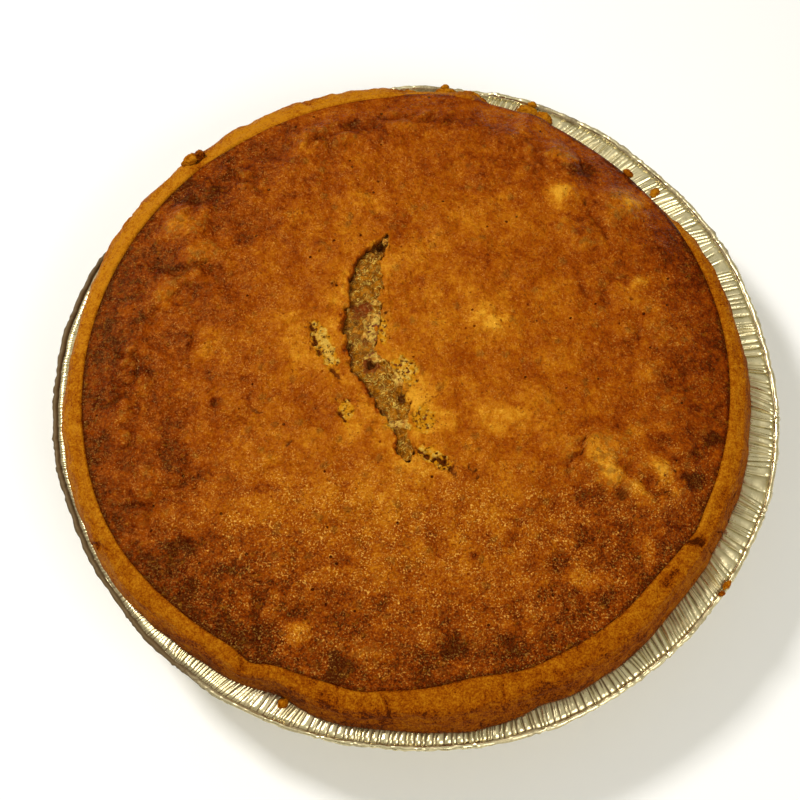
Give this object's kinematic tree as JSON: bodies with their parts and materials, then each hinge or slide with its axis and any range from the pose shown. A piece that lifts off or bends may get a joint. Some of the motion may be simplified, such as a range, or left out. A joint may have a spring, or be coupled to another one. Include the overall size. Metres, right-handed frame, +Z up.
{
  "type": "pecan pie",
  "caption": "Whole round pecan pie with a puffed, cracked filling in a pastry shell, in its thin fluted foil tin with a rolled rim.",
  "frame": {"origin": "centre of the tin's flat base, on the surface that it stands on", "axes": "+Z up through the pie; -Y towards the near side of the picture, +X to its right"},
  "size_m": [0.2398, 0.2398, 0.0477],
  "materials": {
    "foil": "bright crimped foil",
    "pastry": "matt golden-brown baked pastry",
    "filling": "browned, crackled filling skin over glossy syrup"
  },
  "bodies": {
    "root": {"foil_tin": "foil", "pastry_shell": "pastry", "filling": "filling"}
  },
  "joints": []
}
